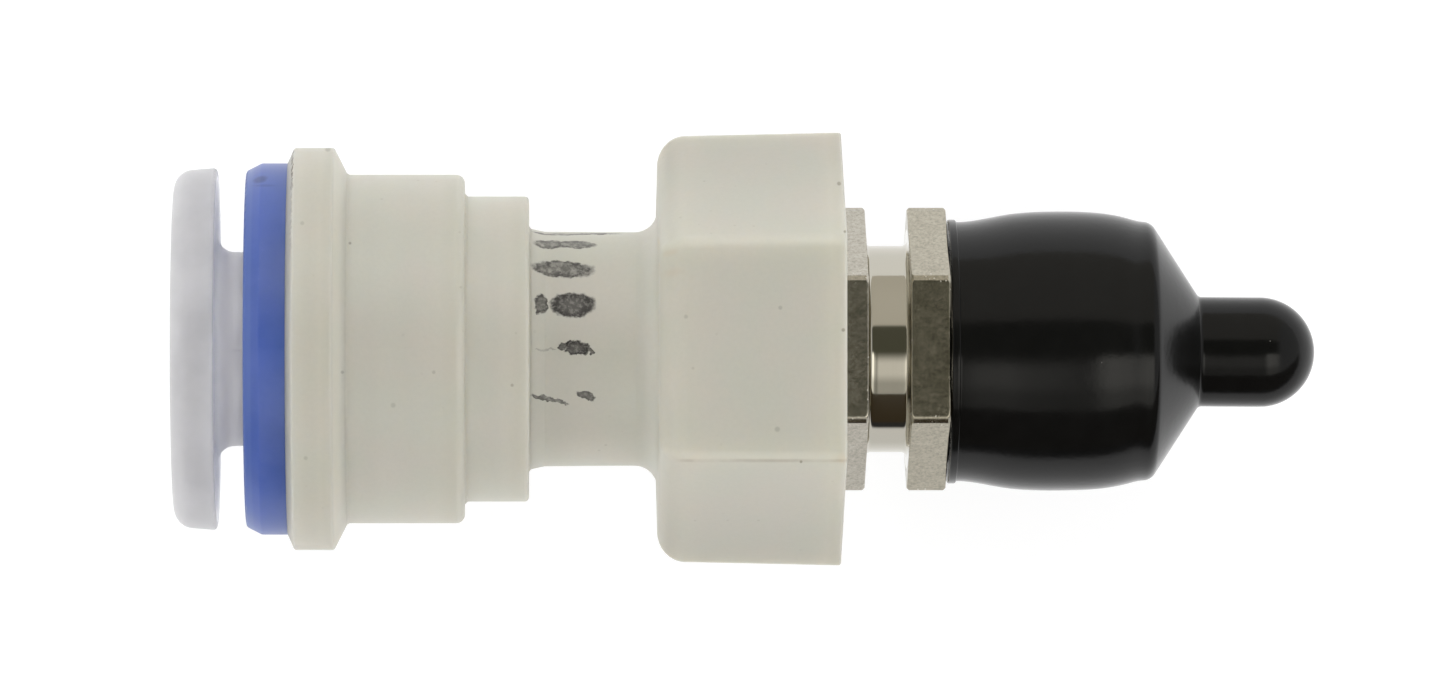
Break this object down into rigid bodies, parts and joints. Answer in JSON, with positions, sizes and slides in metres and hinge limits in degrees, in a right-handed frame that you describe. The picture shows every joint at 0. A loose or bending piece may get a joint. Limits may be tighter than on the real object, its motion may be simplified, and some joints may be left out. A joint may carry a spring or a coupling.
{
  "type": "water line reducing connector",
  "caption": "Straight push-in tube to compression thread reducing connector with hex body, plated nipple and protective cap.",
  "frame": {"origin": "on the flow axis, in the plane of the body's tube-side end face, inside the collet's guide bore", "axes": "+X along the flow axis from the tube port to the threaded nipple, +Z normal to one flat of both hexagons, +Y through a corner of them"},
  "size_m": [0.0584, 0.0222, 0.0206],
  "materials": {
    "body_plastic": "satin moulded ivory",
    "ring_plastic": "satin moulded blue",
    "collet_plastic": "translucent white",
    "spacer_plastic": "natural white",
    "seal_rubber": "black",
    "plated_brass": "nickel plated, tumbled and turned",
    "cap_rubber": "satin black",
    "tooth_steel": "bright stamped"
  },
  "bodies": {
    "housing": {"connector_body": "body_plastic", "retaining_ring": "ring_plastic", "spacer_ring": "spacer_plastic", "tube_o_ring": "seal_rubber", "nipple_o_ring": "seal_rubber", "threaded_nipple": "plated_brass"},
    "collet": {"release_collet": "collet_plastic", "gripper_tooth_1": "tooth_steel", "gripper_tooth_2": "tooth_steel", "gripper_tooth_3": "tooth_steel", "gripper_tooth_4": "tooth_steel", "gripper_tooth_5": "tooth_steel", "gripper_tooth_6": "tooth_steel"},
    "cap": {"protective_cap": "cap_rubber"}
  },
  "joints": [
    {"name": "collet_slide", "type": "slide", "parent": "housing", "child": "collet", "axis": [1, 0, 0], "range_m": [0, 0.0014]},
    {"name": "cap_slide", "type": "slide", "parent": "housing", "child": "cap", "axis": [1, 0, 0], "range_m": [0, 0.015]}
  ]
}
